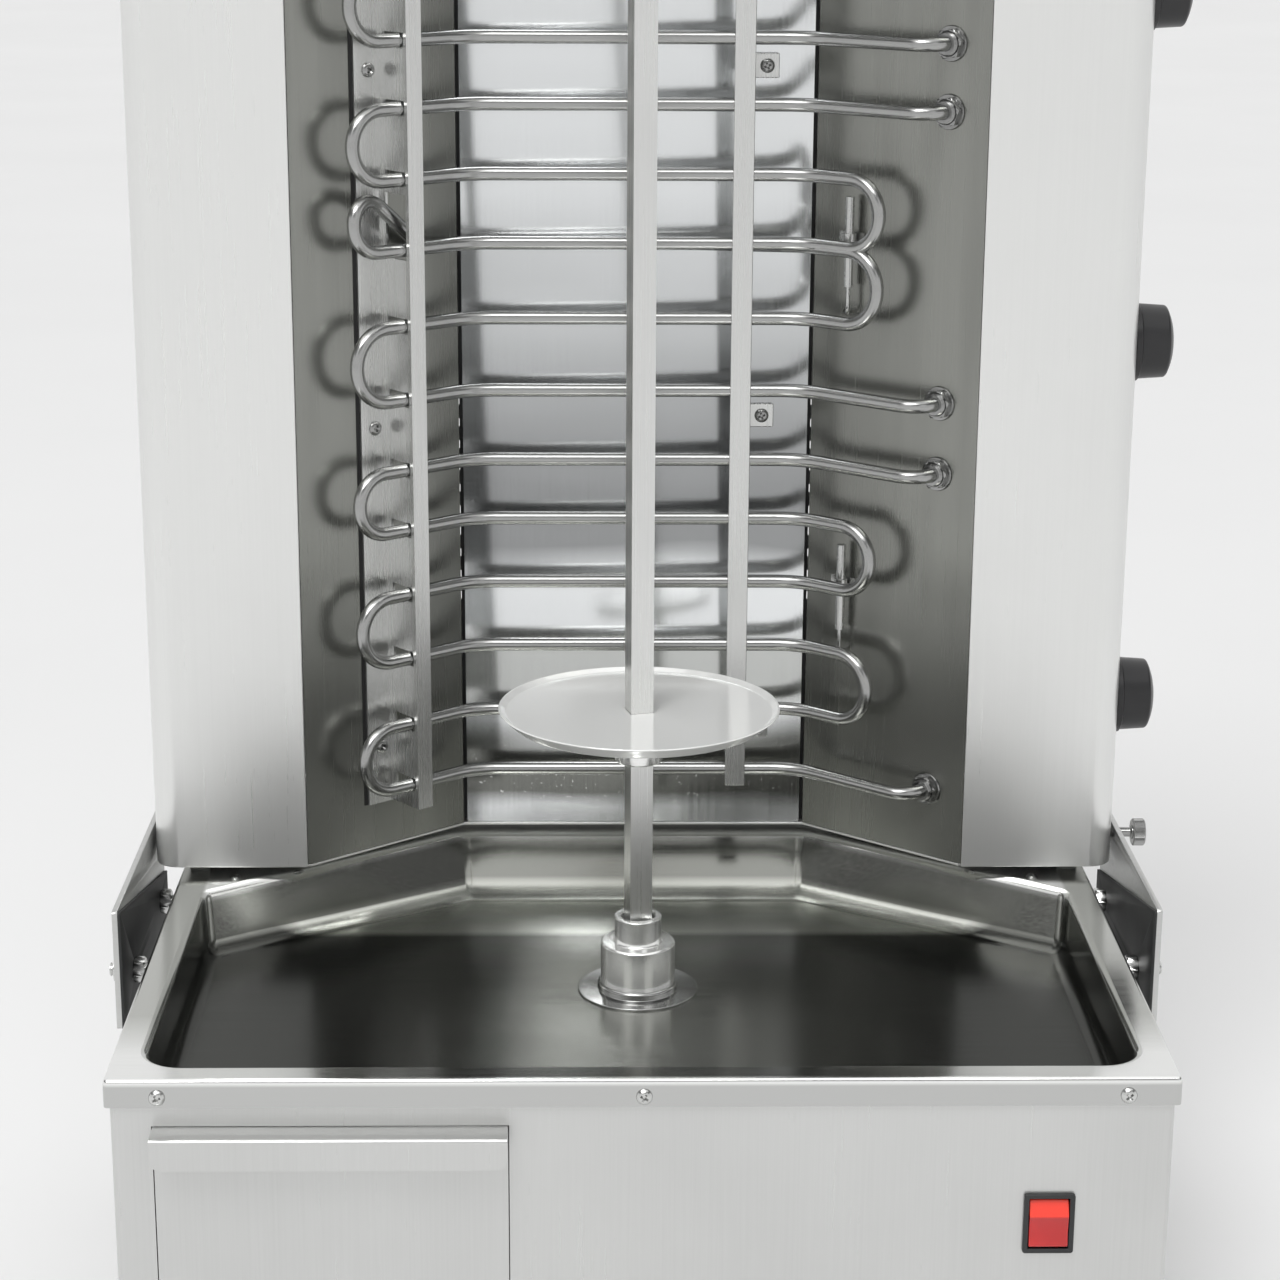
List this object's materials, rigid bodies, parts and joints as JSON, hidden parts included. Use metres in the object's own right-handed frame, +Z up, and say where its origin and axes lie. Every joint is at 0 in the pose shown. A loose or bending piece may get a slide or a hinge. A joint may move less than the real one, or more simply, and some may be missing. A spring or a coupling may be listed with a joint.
{
  "type": "electric doner kebab grill",
  "caption": "Countertop vertical grill: driven spit with a meat plate over a drip tray, in front of an upright heater column with bent tube elements, on a cabinet with a drawer and a switch.",
  "frame": {"origin": "on the floor plane of the feet, under the spit's axis", "axes": "+Z up, front towards -Y, knobs on +X"},
  "size_m": [0.6093, 0.482, 1.021],
  "materials": {
    "brushed_sheet": "vertical brushed grain, satin",
    "reflector_sheet": "smooth bright-rolled, satin reflections",
    "mirror_panel": "mirror polished steel",
    "tray_steel": "polished pressed steel",
    "element_tube": "satin heat-resistant tube",
    "turned_steel": "turned and polished",
    "bar_steel": "bright drawn bar",
    "fastener_steel": "bright zinc plated",
    "galvanised": "galvanised",
    "knob_black": "matt moulded",
    "switch_black": "gloss moulded",
    "rocker_red": "translucent red, gloss",
    "foot_rubber": "matt",
    "motor_paint": "grey enamel",
    "regulator_body": "matt thermoset",
    "gland_plastic": "matt moulded",
    "terminal_ceramic": "glazed",
    "probe_steel": "bright capillary",
    "liner_brass": "drawn"
  },
  "bodies": {
    "base": {"base_cabinet": "brushed_sheet", "base_floor": "galvanised", "feet": "foot_rubber", "rear_deck": "brushed_sheet", "drip_tray": "tray_steel", "tray_screws": "fastener_steel", "drawer_runners": "galvanised", "switch_bezel": "switch_black", "gear_motor": "motor_paint", "motor_bracket": "galvanised", "motor_spacers": "galvanised", "shaft_bearing": "galvanised", "seal_flange": "turned_steel", "left_arm": "brushed_sheet", "right_arm": "brushed_sheet", "arm_bolts": "fastener_steel", "cable_gland": "gland_plastic", "terminal_block": "terminal_ceramic"},
    "heater_column": {"left_wing": "brushed_sheet", "right_wing": "brushed_sheet", "left_reflector": "reflector_sheet", "right_reflector": "reflector_sheet", "back_reflector": "mirror_panel", "bottom_cover": "brushed_sheet", "top_cover": "brushed_sheet", "rear_cover": "brushed_sheet", "rear_screws": "fastener_steel", "bottom_screws": "fastener_steel", "glide_strips": "galvanised", "lower_element": "element_tube", "middle_element": "element_tube", "upper_element": "element_tube", "element_glands": "fastener_steel", "left_holder": "reflector_sheet", "right_holder": "reflector_sheet", "holder_screws": "fastener_steel", "heat_probes": "probe_steel", "probe_clips": "probe_steel", "regulators": "regulator_body", "top_arm": "brushed_sheet", "top_slot_liner": "liner_brass", "top_arm_bolts": "fastener_steel"},
    "drawer": {"drawer_box": "galvanised", "drawer_front": "brushed_sheet"},
    "rocker": {"switch_rocker": "rocker_red"},
    "drive": {"drive_hub": "turned_steel", "drive_shaft": "turned_steel"},
    "spit": {"spit_rod": "bar_steel"},
    "plate": {"meat_plate": "bar_steel", "plate_collar": "bar_steel", "set_screw": "fastener_steel"},
    "lower_control": {"lower_knob": "knob_black", "lower_spindle": "bar_steel"},
    "middle_control": {"middle_knob": "knob_black", "middle_spindle": "bar_steel"},
    "upper_control": {"upper_knob": "knob_black", "upper_spindle": "bar_steel"},
    "lock": {"lock_screw": "turned_steel"}
  },
  "joints": [
    {"name": "column_slide", "type": "slide", "parent": "base", "child": "heater_column", "axis": [0, 1, 0], "range_m": [0, 0.06]},
    {"name": "drawer_slide", "type": "slide", "parent": "base", "child": "drawer", "axis": [0, -1, 0], "range_m": [0, 0.2]},
    {"name": "rocker_tilt", "type": "hinge", "parent": "base", "child": "rocker", "pos_m": [0.206, -0.1845, 0.169], "axis": [1, 0, 0], "range_deg": [-16, 0]},
    {"name": "spit_drive", "type": "hinge", "parent": "base", "child": "drive", "pos_m": [0, 0, 0.24], "axis": [0, 0, 1], "continuous": true},
    {"name": "spit_lift", "type": "slide", "parent": "drive", "child": "spit", "axis": [0, 0, 1], "range_m": [0, 0.027]},
    {"name": "plate_slide", "type": "slide", "parent": "spit", "child": "plate", "axis": [0, 0, 1], "range_m": [-0.09, 0.35]},
    {"name": "lower_knob_turn", "type": "hinge", "parent": "heater_column", "child": "lower_control", "pos_m": [0.29, 0.135, 0.351], "axis": [1, 0, 0], "range_deg": [0, 270]},
    {"name": "middle_knob_turn", "type": "hinge", "parent": "heater_column", "child": "middle_control", "pos_m": [0.29, 0.135, 0.5645], "axis": [1, 0, 0], "range_deg": [0, 270]},
    {"name": "upper_knob_turn", "type": "hinge", "parent": "heater_column", "child": "upper_control", "pos_m": [0.29, 0.135, 0.764], "axis": [1, 0, 0], "range_deg": [0, 270]},
    {"name": "lock_turn", "type": "hinge", "parent": "base", "child": "lock", "pos_m": [0.295, 0.12, 0.268], "axis": [1, 0, 0], "range_deg": [-360, 720]}
  ]
}
